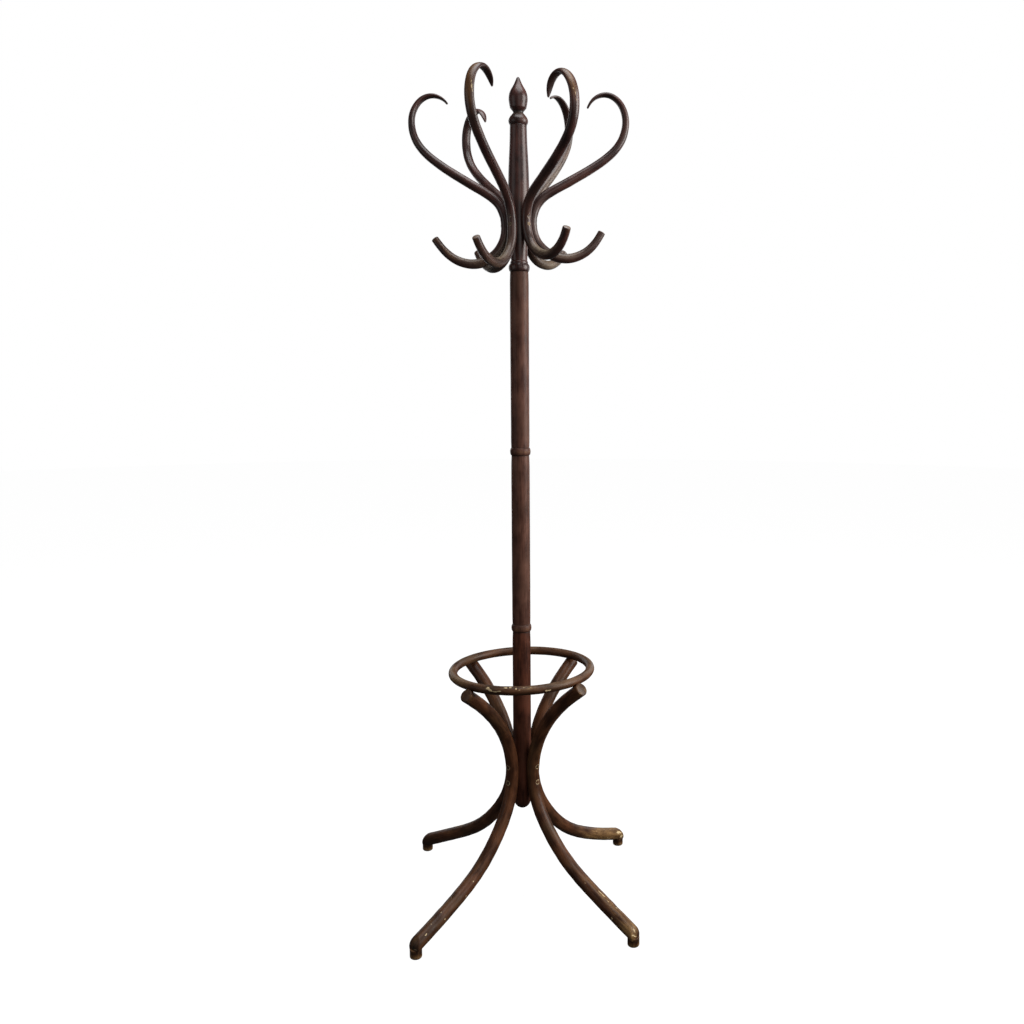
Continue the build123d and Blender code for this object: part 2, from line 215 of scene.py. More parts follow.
def grid_mesh(name, points, wood, marks, closed=True):
    """Tube from rings of points (rings, around, 3), closed at both ends by a point if asked."""
    rings, around, _ = points.shape
    mesh = bpy.data.meshes.new(name)
    ring = np.arange(rings - 1)[:, None] * around
    a = ring + np.arange(around)
    b = ring + (np.arange(around) + 1) % around
    faces = np.stack([a, a + around, b + around, b], axis=-1).reshape(-1, 4).tolist()
    flat = points.reshape(-1, 3)
    values = {key: marks[key].reshape(-1) for key in MARKS}
    grain = wood.reshape(-1, 3)
    for first in (0, (rings - 1) * around) if closed else ():
        middle = len(flat)
        flat = np.vstack([flat, flat[first:first + around].mean(0)])
        grain = np.vstack([grain, grain[first:first + around].mean(0)])
        for key in MARKS:
            values[key] = np.append(values[key], values[key][first:first + around].mean())
        for i in range(around):
            edge = [first + i, first + (i + 1) % around]
            faces.append([middle] + (edge if first == 0 else edge[::-1]))
    mesh.from_pydata((flat * MM).tolist(), [], faces)
    shade_smooth(mesh)
    write_fields(mesh, grain * MM, values)
    mesh.update()
    return mesh


def add_piece(name, mesh, material, slot, *nodes):
    """Link a mesh as a piece that rides on the stand and stands for CAD nodes."""
    piece = bpy.data.objects.new(name, mesh)
    bpy.context.scene.collection.objects.link(piece)
    mesh.materials.append(material)
    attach(piece, "root")
    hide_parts(*nodes)


def placed(points, matrix):
    """Apply a 4 by 4 matrix to an array of points."""
    m = np.array(matrix)
    return points @ m[:3, :3].T + m[:3, 3]


def about_axis(azimuth, sway=0.0, lift=0.0, pivot=0.0):
    """Turn a piece bent in the XZ plane to its azimuth, after its sideways lean."""
    return (
        Matrix.Rotation(math.radians(azimuth), 4, "Z")
        @ Matrix.Translation((0, 0, lift + pivot))
        @ Matrix.Rotation(math.radians(sway), 4, "X")
        @ Matrix.Translation((0, 0, -pivot))
    )


def end_rings(c, w, at, half_w, half_d, sign, edge, crown):
    """Rings that round off a cut end and close it with a slightly crowned face."""
    rings = []
    rounding = np.radians(np.linspace(0, 90, 8)[1:])
    cap = [(edge * math.sin(t), edge * (1 - math.cos(t)), 1.0) for t in rounding]
    cap += [(edge + crown * (1 - k * k), edge, k) for k in (0.85, 0.7, 0.55, 0.4, 0.25, 0.1)]
    for out, inset, k in cap:
        mark = 1.0 if k < 1 else min(1.0, inset / edge)
        rings.append((c + sign * out * w, w, at + sign * out, (half_w - inset) * k, (half_d - inset) * k,
                      mark, 0.0))
    return rings


def nose_rings(c, w, at, half_w, half_d, cos, sin):
    """Rings that carry a rod on to a toe carved as part of a sphere about its underside."""
    reach = 2 * half_d + NOSE_SPARE
    rings = []
    for share in np.linspace(0, 1, 12)[1:]:
        ahead = np.sqrt(reach**2 - (half_w * cos) ** 2 - (half_d + half_d * sin) ** 2)
        rings.append((c, w, at, half_w, half_d, 0.0, share * ahead))
    for k in NOSE_SHARES:
        ahead = np.sqrt(reach**2 - (k * half_w * cos) ** 2 - (half_d + k * half_d * sin) ** 2)
        rings.append((c, w, at, k * half_w, k * half_d, 0.35, ahead))
    return rings


def rod(name, points, size, place, edges, crown, ends, seed, paint, around, fine, wobble):
    """Bent rod with rounded ends, or with a carved toe where the second edge is None.

    paint gives the marks and the surface's displacement.
    """
    cut_start, cut_end = ends
    nose = edges[1] is None
    length = line_length(points) - cut_start - cut_end
    s = steps(length, fine)
    centre, way = spline_at(points, s + cut_start)
    width, depth = size(s, length)
    angle = np.arange(around) / around * TAU
    cos, sin = np.cos(angle), np.sin(angle)
    body = [(centre[i], way[i], s[i], width[i] / 2, depth[i] / 2, 0.0, 0.0) for i in range(len(s))]
    start = end_rings(*body[0][:5], -1, edges[0], crown)[::-1]
    if nose:
        finish = nose_rings(*body[-1][:5], cos, sin)
    else:
        finish = end_rings(*body[-1][:5], 1, edges[1], crown)
    rings = start + body + finish
    c, w, at, half_w, half_d, end = (np.array([r[i] for r in rings]) for i in range(6))
    ahead = np.array([r[6] + 0 * cos for r in rings])
    s2, a2 = at[:, None] + ahead, np.degrees(angle) + 0 * ahead
    marks = blank(s2.shape)
    marks["end"] += end[:, None]
    push = wobble * ripple(seed, s2, a2, 60.0) * (1 - end[:, None])
    push = push + paint(s2, a2, length, marks)
    x = half_w[:, None] * cos
    y = half_d[:, None] * sin
    swell = 1 + push / np.maximum(np.hypot(x, y), 1e-6)
    x2, y2 = x * swell, y * swell
    local = np.stack([
        c[:, 0][:, None] - w[:, 1][:, None] * y2 + w[:, 0][:, None] * ahead,
        x2,
        c[:, 1][:, None] + w[:, 0][:, None] * y2 + w[:, 1][:, None] * ahead,
    ], axis=-1)
    if nose:
        first = len(start) + len(body)
        for _ in range(NOSE_SOFTENING):
            local[first:-1] = (local[first - 1:-2] + 2 * local[first:-1] + local[first + 1:]) / 4
    grain = np.stack([x, y, s2], axis=-1) + seed * np.array(ROD_GRAIN)
    return grid_mesh(name, placed(local, place), grain, marks)


def lathe(name, profile, seed, paint, around, centre=(0.0, 0.0)):
    """Turned piece from a profile of (radius, height), from its top to its bottom."""
    profile = np.array(profile, float)
    angle = np.arange(around) / around * TAU
    z2, a2 = np.meshgrid(profile[:, 1], np.degrees(angle), indexing="ij")
    r2 = np.repeat(profile[:, :1], around, axis=1)
    marks = blank(z2.shape)
    r2 = r2 + paint(z2, a2, r2, marks)
    x, y = r2 * np.cos(angle), r2 * np.sin(angle)
    points = np.stack([x + centre[0], y + centre[1], z2], axis=-1)
    grain = np.stack([x, y, z2], axis=-1) + seed * np.array(TURNED_GRAIN)
    return grid_mesh(name, points, grain, marks)


# ---- Materials ------------------------------------------------------------------------
class Graph:
    """Short names for building a node material."""

    def __init__(self, name):
        self.material = bpy.data.materials.new(name)
        self.material.use_nodes = True
        self.tree = self.material.node_tree
        self.tree.nodes.clear()

    def add(self, kind, inputs, **settings):
        node = self.tree.nodes.new(kind)
        for key, value in settings.items():
            setattr(node, key, value)
        for socket, value in inputs.items():
            if isinstance(value, bpy.types.NodeSocket):
                self.tree.links.new(value, node.inputs[socket])
            else:
                node.inputs[socket].default_value = value
        return node

    def attribute(self, name, output="Fac"):
        return self.add("ShaderNodeAttribute", {}, attribute_name=name).outputs[output]

    def scaled(self, vector, x, y, z):
        inputs = {0: vector, 1: (x, y, z)}
        return self.add("ShaderNodeVectorMath", inputs, operation="MULTIPLY").outputs[0]

    def noise(self, vector, scale, detail=3.0, roughness=0.55, distortion=0.0):
        inputs = {"Vector": vector, "Scale": scale, "Detail": detail, "Roughness": roughness,
                  "Distortion": distortion}
        return self.add("ShaderNodeTexNoise", inputs).outputs[0]

    def math(self, operation, a, b=0.0, clamp=False):
        node = self.add("ShaderNodeMath", {0: a, 1: b}, operation=operation, use_clamp=clamp)
        return node.outputs[0]

    def weigh(self, *pairs, base=0.0):
        """A base plus the sum of values times their weights."""
        total = base
        for value, weight in pairs:
            part = self.math("MULTIPLY", value, weight)
            total = self.math("ADD", part, total)
        return total

    def smooth(self, value, low, high, to_low=0.0, to_high=1.0):
        inputs = {"Value": value, "From Min": low, "From Max": high, "To Min": to_low, "To Max": to_high}
        node = self.add("ShaderNodeMapRange", inputs, interpolation_type="SMOOTHSTEP")
        return node.outputs[0]

    def mix(self, factor, a, b, blend="MIX"):
        node = self.add("ShaderNodeMix", {0: factor, 6: a, 7: b}, data_type="RGBA", blend_type=blend)
        return node.outputs[2]


def srgb(r, g, b):
    """Linear colour from 8-bit display values."""
    def linear(v):
        v /= 255
        return v / 12.92 if v <= 0.04045 else ((v + 0.055) / 1.055) ** 2.4
    return (linear(r), linear(g), linear(b), 1.0)


def stained_wood(name, dark, light, faded, worn_dark, worn_light, end_grain_and_highlight, rough, specular, coat,
                 coat_rough, relief):
    """Stained and varnished beech, with worn, chipped, dusty and grimy places from the marks, which also lay
    painted shade, a painted reflection and a painted highlight.
    """
    g = Graph(name)
    wood = g.attribute("wood", "Vector")
    wear, chip, dirt, dust, end = (g.attribute(key) for key in MARKS)
    cloud = g.noise(wood, 16, 2)
    mottle = g.noise(g.scaled(wood, 1, 1, 0.3), 70, 4)
    streak = g.noise(g.scaled(wood, 1, 1, 0.035), 520, 5, 0.62)
    fleck = g.noise(g.scaled(wood, 1, 1, 0.14), 1700, 2)
    crumb = g.noise(g.scaled(wood, 1, 1, 0.45), 420, 4, 0.65, 0.4)

    tone = g.weigh((cloud, 0.8), (mottle, 1.0), (streak, 0.75), (fleck, 0.2))
    stain = g.mix(g.smooth(tone, 1.1, 1.68), dark, light)
    fading = g.weigh((g.noise(wood, 9, 2), 1.0), (mottle, 0.3))
    stain = g.mix(g.smooth(fading, 0.6, 0.85, 0.0, 0.45), stain, faded)
    rings = g.add("ShaderNodeTexWave", {"Vector": g.scaled(wood, 1, 1, 0.02), "Scale": 130.0,
                                        "Distortion": 3.0, "Detail": 2.0, "Detail Scale": 0.6},
                  wave_type="RINGS", rings_direction="Z").outputs[1]
    # End faces: rings from dark to the pale end colour, which on the hooks is a painted highlight on their
    # domed ends.
    end_tone = g.mix(g.smooth(rings, 0.0, 1.0, 0.4, 1.0), dark, end_grain_and_highlight)
    stain = g.mix(end, stain, end_tone)

    wearing = g.weigh((wear, 1.0), (mottle, 0.85), (streak, 0.35), (crumb, 0.15), base=-0.675)
    worn_mask = g.smooth(wearing, 0.15, 0.75)
    worn_tone = g.weigh((streak, 0.7), (mottle, 0.5), (crumb, 0.6))
    worn = g.mix(g.smooth(worn_tone, 0.74, 1.08), worn_dark, worn_light)
    colour = g.mix(worn_mask, stain, worn)
    chip_mask = g.smooth(g.weigh((chip, 1.0), (crumb, 1.0), base=-0.5), 0.47, 0.56)
    bare = g.mix(fleck, srgb(190, 160, 112), srgb(226, 208, 172))
    colour = g.mix(chip_mask, colour, bare)
    # Greyish pale layer from the fourth mark: real dust, and a painted reflection on the back-right hook and
    # a painted highlight on the feet's bottom rims.
    dust_and_sheen_mask = g.math("MULTIPLY", dust, g.smooth(g.weigh((crumb, 0.6), (mottle, 0.6)), 0.4, 0.8), True)
    colour = g.mix(dust_and_sheen_mask, colour, srgb(128, 116, 96))
    # Near-black darkening from the third mark: real grime, and painted shade in creases, recesses and where
    # parts meet.
    grime_and_shade_mask = g.math("MULTIPLY", dirt, g.smooth(mottle, 0.2, 0.7, 0.6, 1.0), True)
    colour = g.mix(grime_and_shade_mask, colour, srgb(20, 12, 9))

    roughness = g.weigh((mottle, 0.16), (streak, 0.08), (worn_mask, 0.1), (chip_mask, 0.3),
                        (dust_and_sheen_mask, 0.2), (grime_and_shade_mask, 0.15), (end, -0.1), base=rough - 0.12)
    ridge = g.noise(g.scaled(wood, 1, 1, 0.06), 240, 1)
    height = g.weigh((ridge, 0.5), (cloud, 0.5), (chip_mask, -1.0))
    bump = g.add("ShaderNodeBump", {"Height": height, "Strength": relief, "Distance": 0.0002})
    shader = g.add("ShaderNodeBsdfPrincipled", {
        "Base Color": colour, "Roughness": roughness, "Normal": bump.outputs[0],
        "Specular IOR Level": specular, "Coat Weight": coat, "Coat Roughness": coat_rough,
    })
    g.add("ShaderNodeOutputMaterial", {"Surface": shader.outputs[0]})
    return g.material


def aged_steel(name):
    """Darkened steel for the screws, with a little rust in scattered spots."""
    g = Graph(name)
    place = g.add("ShaderNodeTexCoord", {}).outputs["Object"]
    spots = g.noise(place, 900, 4, 0.6)
    scratch = g.noise(g.scaled(place, 1, 1, 0.2), 2400, 2)
    colour = g.mix(g.smooth(spots, 0.42, 0.68), srgb(112, 100, 86), srgb(64, 44, 30))
    roughness = g.weigh((spots, 0.35), (scratch, 0.15), base=0.25)
    bump = g.add("ShaderNodeBump", {"Height": g.weigh((spots, 1.0), (scratch, 0.4)), "Strength": 0.4,
                                    "Distance": 0.0001})
    shader = g.add("ShaderNodeBsdfPrincipled", {
        "Base Color": colour, "Roughness": roughness, "Normal": bump.outputs[0], "Metallic": 1.0,
    })
    g.add("ShaderNodeOutputMaterial", {"Surface": shader.outputs[0]})
    return g.material


def bare_beech(name):
    """Unfinished turned beech for the hidden dowels."""
    g = Graph(name)
    place = g.add("ShaderNodeTexCoord", {}).outputs["Object"]
    streak = g.noise(g.scaled(place, 1, 1, 0.05), 700, 4)
    fleck = g.noise(g.scaled(place, 1, 1, 0.2), 1800, 2)
    colour = g.mix(g.weigh((streak, 0.7), (fleck, 0.3)), srgb(196, 158, 112), srgb(226, 196, 152))
    bump = g.add("ShaderNodeBump", {"Height": streak, "Strength": 0.3, "Distance": 0.0001})
    shader = g.add("ShaderNodeBsdfPrincipled", {
        "Base Color": colour, "Roughness": g.weigh((fleck, 0.2), base=0.55), "Normal": bump.outputs[0],
    })
    g.add("ShaderNodeOutputMaterial", {"Surface": shader.outputs[0]})
    return g.material


# The hooks' pale end colour paints the highlight on their domed end faces.
UPPER = stained_wood(
    "stained_beech_upper", dark=srgb(39, 21, 19), light=srgb(83, 49, 43), faded=srgb(72, 54, 47),
    worn_dark=srgb(76, 43, 17), worn_light=srgb(108, 73, 36), end_grain_and_highlight=srgb(160, 146, 138),
    rough=0.36, specular=0.4, coat=0.2, coat_rough=0.24, relief=0.3,
)
POLE = stained_wood(
    "stained_beech_pole", dark=srgb(64, 37, 29), light=srgb(109, 73, 60), faded=srgb(88, 63, 51),
    worn_dark=srgb(100, 72, 44), worn_light=srgb(144, 112, 74), end_grain_and_highlight=srgb(140, 116, 92),
    rough=0.48, specular=0.16, coat=0.06, coat_rough=0.28, relief=0.35,
)
LOWER_POLE = stained_wood(
    "stained_beech_lower_pole", dark=srgb(52, 26, 18), light=srgb(102, 58, 42), faded=srgb(84, 50, 37),
    worn_dark=srgb(100, 72, 44), worn_light=srgb(144, 112, 74), end_grain_and_highlight=srgb(140, 116, 92),
    rough=0.46, specular=0.16, coat=0.06, coat_rough=0.28, relief=0.35,
)
LOWER = stained_wood(
    "stained_beech_lower", dark=srgb(50, 27, 15), light=srgb(98, 60, 37), faded=srgb(82, 63, 42),
    worn_dark=srgb(80, 55, 31), worn_light=srgb(138, 106, 68), end_grain_and_highlight=srgb(68, 51, 39),
    rough=0.44, specular=0.18, coat=0.1, coat_rough=0.28, relief=0.45,
)
STEEL = aged_steel("aged_steel")
BEECH = bare_beech("bare_beech")


# ---- Hooks ----------------------------------------------------------------------------
def hook_size(cut_end):
    def size(s, length):
        width = HOOK_TIP_D + (HOOK_D - HOOK_TIP_D) * (1 - np.exp(-np.maximum(s, 0) / TIP_TAPER_WIDTH))
        depth = HOOK_TIP_D + (HOOK_D - HOOK_TIP_D) * (1 - np.exp(-np.maximum(s, 0) / TIP_TAPER_DEPTH))
        slimming = (HOOK_D - HOOK_END_D) * np.maximum(0.0, 1 - (length + cut_end - s) / END_TAPER)
        return width - slimming, depth - slimming
    return size


def opened(points, top_turn, bottom_turn):
    """The hook's line with its upper and its lower bend turned about the waist."""
    result = []
    for r, z in points:
        dr, dz = r - HOOK_WAIST[0], z - HOOK_WAIST[1]
        share = min(1.0, math.hypot(dr, dz) / HOOK_BEND_REACH)
        turn = math.radians(top_turn if dz > 0 else bottom_turn) * share
        result.append((
            HOOK_WAIST[0] + dr * math.cos(turn) - dz * math.sin(turn),
            HOOK_WAIST[1] + dr * math.sin(turn) + dz * math.cos(turn),
        ))
    return result


def hook_paint(screws, crest_wear, cup_wear, patches):
    """Wear on the crest and the outer bend, in the cup and round the screws; painted shade on the inner face
    and in the screw recesses.
    """
    def paint(s, angle, length, marks):
        marks["wear"] += crest_wear * window(s, 105, 60) * turn_window(angle, 90, 60)
        cup = cup_wear * window(s, length - 90, 60) * turn_window(angle, 90, 75)
        marks["wear"] += 0.4 * cup + 0.3 * window(s, length, 14)
        marks["dust"] += 1.4 * cup
        # Painted shade on the inner face, where the hook meets the pole and inside the curl by the tip.
        marks["dirt"] += 0.8 * turn_window(angle, 270, 50) * window(s, screws[0], 60)
        marks["dirt"] += 0.6 * turn_window(angle, 270, 60) * window(s, 40, 60)
        add_patches(patches, s, angle, marks)
        push = np.zeros_like(s)
        for at in screws:
            off = from_spot(s, angle, at, HOOK_D)
            push -= 0.75 * (1 - np.clip((off - 3.3) / 0.5, 0, 1))
            marks["chip"] += 0.62 * window(off, 4.2, 0.7)
            # The dark ring inside each screw recess is painted shade.
            marks["dirt"] += 0.9 * window(off, 3.2, 0.6)
        return push
    return paint


# How worn each hook is on its crest and in its cup.
HOOK_WEAR = {
    "hook_right": (0.25, 0.3), "hook_back_right": (0.2, 0.6), "hook_back_left": (0.2, 0.5),
    "hook_left": (0.35, 0.6), "hook_front_left": (0.3, 0.7), "hook_front_right": (0.45, 0.7),
}
# Local marks, as add_patches takes them: distances in millimetres along the rod, angles in degrees.
HOOK_PATCHES = {
    "hook_front_left": [
        ("wear", 95, 80, 45, 40, 0.55), ("wear", 150, 60, 55, 35, 0.5), ("dust", 515, 119, 45, 50, 0.8),
        # The first entry below, a long dark band along one side of the crest, is painted shade.
        ("dirt", 120, 20, 80, 30, 0.4), ("dust", 600, 290, 50, 50, 0.4),
        ("chip", 133, 34, 6, 12, 0.85), ("chip", 124, 46, 5, 7, 0.75), ("chip", 142, 24, 5, 9, 0.7),
    ],
    "hook_front_right": [
        ("wear", 110, 120, 34, 34, 0.6), ("dust", 560, 140, 50, 45, 0.5), ("chip", 132, 120, 6, 7, 0.75),
        ("chip", 142, 103, 6, 7, 0.75), ("chip", 113, 122, 5, 8, 0.6), ("chip", 152, 95, 4, 6, 0.55),
    ],
    "hook_left": [
        ("wear", 640, 10, 50, 50, 0.4), ("wear", 535, 345, 40, 45, 0.3), ("dust", 515, 315, 45, 50, 0.6),
    ],
    "hook_right": [("dust", 570, 150, 50, 50, 0.3)],
    # On the back-right hook the long pale patch along its middle is a painted reflection; the one in the cup
    # is dust.
    "hook_back_right": [("dust", 530, 210, 60, 70, 0.7), ("dust", 260, 180, 110, 60, 0.7)],
    "hook_back_left": [("dust", 585, 350, 60, 70, 0.6)],
}
for index, (name, spec) in enumerate(HOOKS.items()):
    azimuth, top_turn, bottom_turn, sway, lift, tip_cut, end_cut = spec
    line = opened(HOOK_LINE, top_turn, bottom_turn)
    screws = passing(line, tip_cut, [z - lift for z in HOOK_SCREW_HEIGHTS], HOOK_SCREW_SPAN)
    mesh = rod(
        name + "_bentwood", line, hook_size(end_cut), about_axis(azimuth, sway, lift, HOOK_WAIST[1]),
        edges=(0.5, 2.5), crown=0.8, ends=(tip_cut, end_cut), seed=3 + index,
        paint=hook_paint(screws, *HOOK_WEAR[name], HOOK_PATCHES[name]),
        around=HOOK_FACETS, fine=(min(screws) - 6, max(screws) + 6), wobble=0.12,
    )
    add_piece(name + "_bentwood", mesh, UPPER, "bent_wood", name)


# ---- Pole and finial ------------------------------------------------------------------
def arc(top, bottom, bulge_r, height):
    """Half-round bead between two (radius, height) points."""
    t = np.linspace(-90, 90, 17)
    r0 = np.interp(t, [-90, 90], [top[0], bottom[0]])
    r = r0 + (bulge_r - r0) * np.cos(np.radians(t))
    return np.stack([r, height - BEAD_HALF * np.sin(np.radians(t))], axis=1)


def ends_closed(profile):
    """Soften both rims of a section and close it along the axis."""
    (r0, z0), (r1, z1) = profile[0], profile[-1]
    dip = 0.35
    top = [(0.5, z0), (r0 - 2.5, z0), (r0 - dip, z0), (r0 - dip * 0.3, z0 - dip * 0.3)]
    bottom = [(r1 - dip * 0.3, z1 + dip * 0.3), (r1 - dip, z1), (r1 - 2.5, z1), (0.5, z1)]
    return np.vstack([top, profile[1:-1], bottom])


def pole_paint(seed, beads, shaded_top=None):
    def paint(z, angle, r, marks):
        for bead in beads:
            marks["wear"] += 0.28 * window(z, bead, 3.5)
            # Painted shade just under each bead, and fainter just above it.
            marks["dirt"] += 0.9 * window(z, bead - BEAD_HALF, 1.6) + 0.5 * window(z, bead + BEAD_HALF, 2.0)
        if shaded_top is not None:
            # Painted shade at the section's top, under the bead of the piece above.
            marks["dirt"] += 0.6 * window(z, shaded_top, 2.0)
        return 0.05 * ripple(seed, z, angle, 90.0) * (r > 10)
    return paint


def seam_below(bead):
    return bead - BEAD_HALF


def section_profile(top, bead):
    neck = curve([(21.0, top), (21.3, top - 6), (POLE_R, top - 32)])
    waist = curve([(POLE_R, bead + 26), (21.6, bead + 14), (21.3, bead + BEAD_HALF)])
    side = np.stack([np.full(60, POLE_R), np.linspace(top - 32, bead + 26, 62)[1:-1]], axis=1)
    bead_line = arc((21.3, 0), (21.0, 0), BEAD_R, bead)
    return ends_closed(np.vstack([neck, side, waist, bead_line[1:]]))


swell = curve([(19.3, POLE_TOP), (20.1, 1819), (22.7, 1767), (24.0, 1715), (22.6, 1640), (20.2, 1590),
               (18.8, 1556)], 2.0)
top_profile = ends_closed(np.vstack([
    swell, [(19.3, 1554.6), (20.0, 1554.1), (20.4, 1553.0), (20.4, 1550.5)],
    arc((20.4, 0), (20.6, 0), BEAD_R, BEAD_TOP),
]))
lower_top = seam_below(BEAD_LOW)
end_centre = POLE_BOTTOM + POLE_END_R
dome = np.radians(np.linspace(0, 88, 24))
lower_profile = np.vstack([
    [(0.5, lower_top), (18.0, lower_top), (20.65, lower_top), (20.9, lower_top - 0.1)],
    curve([(21.0, lower_top), (21.3, lower_top - 6), (POLE_R, lower_top - 32)])[1:],
    np.stack([np.full(90, POLE_R), np.linspace(lower_top - 32, 300, 92)[1:-1]], axis=1),
    curve([(POLE_R, 300), (21.4, 275), (POLE_END_R, end_centre)]),
    np.stack([POLE_END_R * np.cos(dome), end_centre - POLE_END_R * np.sin(dome)], axis=1)[1:],
])
finial_profile = np.vstack([
    [(0.5, POLE_TOP), (14.0, POLE_TOP)],
    curve([(19.0, POLE_TOP), (21.8, 1861), (22.2, 1866), (20.3, 1871), (11.9, 1881.5)], 0.8),
    curve([(11.9, 1881.5), (11.7, 1884), (14.8, 1888.5), (18.6, 1893)], 0.8)[1:],
    curve([(18.6, 1893), (20.4, 1902), (21.6, 1911.5), (20.5, 1922), (16.6, 1932), (11.2, 1941),
           (7.0, 1949.5), (3.6, 1957.6)], 1.2)[1:],
    [(2.6, 1958.9), (1.4, 1959.7), (0.3, HEIGHT)],
])[::-1]


def finial_paint(z, angle, r, marks):
    # Painted shade in the narrow neck and where the finial sits on the pole.
    marks["dirt"] += 0.9 * window(z, 1883.5, 3.5) + 0.4 * window(z, POLE_TOP, 2.5)
    marks["wear"] += 0.15 * window(z, 1868, 3)
    marks["dust"] += 0.25 * window(z, 1880, 4)
    return 0.05 * ripple(71, z, angle, 60.0) * (r > 3)


UP_SEAM, MID_SEAM = seam_below(BEAD_TOP), seam_below(BEAD_MID)
for name, profile, seed, paint, material in (
    ("finial", finial_profile, 21, finial_paint, UPPER),
    ("pole_top", top_profile, 22, pole_paint(22, (BEAD_TOP,)), UPPER),
    ("pole_upper", section_profile(UP_SEAM, BEAD_MID), 24, pole_paint(24, (BEAD_MID,), UP_SEAM), POLE),
    ("pole_middle", section_profile(MID_SEAM, BEAD_LOW), 25, pole_paint(25, (BEAD_LOW,), MID_SEAM), POLE),
    ("pole_lower", lower_profile, 27, pole_paint(27, (), lower_top), LOWER_POLE),
):
    mesh = lathe(name + "_turned", profile, seed, paint, POLE_FACETS)
    add_piece(name + "_turned", mesh, material, "turned_wood", name)


# ---- Legs, hoop and feet --------------------------------------------------------------
def leg_line(reach, arch, top_rise, top_turn):
    """One leg's line: LEG_LINE stretched and arched below its waist, turned and raised above it."""
    run = LEG_LINE[-1][0] - LEG_WAIST[0]
    stretch = (reach + TOE_PAST_FOOT - LEG_TOE_D - NOSE_SPARE - LEG_WAIST[0]) / run
    result = []
    for r, z in LEG_LINE:
        if z < LEG_WAIST[1] - 5:
            share = (r - LEG_WAIST[0]) / run
            z += arch * 4 * share * (1 - share)
            r = LEG_WAIST[0] + (r - LEG_WAIST[0]) * stretch
        else:
            dr, dz = r - LEG_WAIST[0], z - LEG_WAIST[1]
            turn = math.radians(top_turn) * min(1.0, math.hypot(dr, dz) / LEG_BEND_REACH)
            rise = top_rise * max(0.0, z - 400) / (LEG_LINE[0][1] - 400)
            r = LEG_WAIST[0] + dr * math.cos(turn) - dz * math.sin(turn)
            z = LEG_WAIST[1] + dr * math.sin(turn) + dz * math.cos(turn) + rise
        result.append((r, z))
    return result


def leg_size(s, length):
    waist = 0.42 * length
    d = np.where(
        s < waist, LEG_TOP_D + (LEG_D - LEG_TOP_D) * s / waist,
        LEG_D + (LEG_TOE_D - LEG_D) * (s - waist) / (length - waist),
    )
    return d, d


def leg_paint(plugs, patches):
    """Marks round the plugs and at the top end, the leg's own worn places and knocks, and painted shade on
    its inner face by the pole.
    """
    def paint(s, angle, length, marks):
        marks["wear"] += 0.25 * window(s, 0, 16)
        # Painted shade on the inner face, where the leg meets the pole.
        marks["dirt"] += 0.8 * turn_window(angle, 270, 45) * window(s, plugs[0] - 20, 90)
        add_patches(patches, s, angle, marks)
        push = np.zeros_like(s)
        for at in plugs:
            off = from_spot(s, angle, at, LEG_D)
            push -= 0.5 * window(off, PLUG_R + 0.3, 0.5)
            marks["chip"] += 1.2 * window(off, PLUG_R + 0.5, 0.75)
        return push - 0.3 * np.minimum(marks["chip"], 1.0)
    return paint


LEG_PATCHES = {
    "back_right": [
        ("wear", 705, 150, 90, 110, 0.8), ("wear", 640, 200, 60, 40, 0.35), ("chip", 752, 150, 10, 14, 0.6),
        ("wear", 765, 170, 25, 90, 0.3), ("chip", 735, 165, 30, 60, 0.3), ("chip", 775, 175, 12, 60, 0.22),
        ("chip", 764, 190, 5, 16, 0.7), ("chip", 700, 205, 30, 8, 0.45), ("chip", 650, 140, 16, 10, 0.4),
    ],
    "back_left": [
        ("chip", 602, 84, 12, 12, 0.8), ("chip", 628, 84, 9, 10, 0.7), ("dirt", 755, 0, 35, 200, 0.6),
        ("wear", 640, 60, 60, 60, 0.35),
    ],
    "front_left": [
        ("wear", 660, 110, 90, 40, 0.3), ("wear", 764, 90, 22, 200, 0.4), ("dirt", 766, 90, 15, 200, 0.85),
        ("dirt", 772, 30, 22, 70, 0.5), ("chip", 780, 40, 12, 60, 0.36),
        ("chip", 562, 30, 3, 6, 0.8), ("chip", 604, 102, 2.5, 5, 0.7), ("chip", 623, 88, 2.5, 5, 0.7),
        ("chip", 665, 71, 3, 6, 0.78), ("chip", 669, 8, 3.5, 8, 0.85), ("chip", 699, 65, 3.2, 6, 0.78),
        ("chip", 725, 42, 7, 8, 0.65), ("chip", 761, 357, 2.5, 9, 0.9), ("chip", 597, 358, 3, 10, 0.7),
    ],
    "front_right": [
        ("wear", 745, 150, 50, 120, 0.6), ("wear", 640, 105, 60, 40, 0.5), ("chip", 636, 94, 9, 6, 0.62),
        ("chip", 651, 92, 10, 7, 0.68), ("chip", 666, 98, 6, 5, 0.6), ("chip", 698, 177, 5, 9, 0.8),
        ("chip", 598, 133, 3, 6, 0.6), ("chip", 604, 65, 3, 6, 0.6), ("chip", 690, 78, 5, 6, 0.8),
        ("chip", 701, 80, 4, 6, 0.7), ("chip", 754, 106, 6, 9, 0.8), ("chip", 762, 155, 6, 10, 0.7),
        ("chip", 744, 211, 6, 12, 0.6), ("wear", 772, 150, 22, 110, 0.45), ("chip", 775, 140, 14, 60, 0.4),
    ],
}
for index, (side, (azimuth, reach, *bends)) in enumerate(LEGS.items()):
    line = leg_line(reach, *bends)
    plugs = passing(line, 0, LEG_SCREW_HEIGHTS, LEG_SCREW_SPAN)
    mesh = rod(
        f"leg_{side}_bentwood", line, leg_size, about_axis(azimuth),
        edges=(3.0, None), crown=1.0, ends=(0.0, 0.0), seed=40 + index,
        paint=leg_paint(plugs, LEG_PATCHES[side]),
        around=LEG_FACETS, fine=(min(plugs) - 8, max(plugs) + 8), wobble=0.18,
    )
    add_piece(f"leg_{side}_bentwood", mesh, LOWER, "bent_wood", f"leg_{side}")


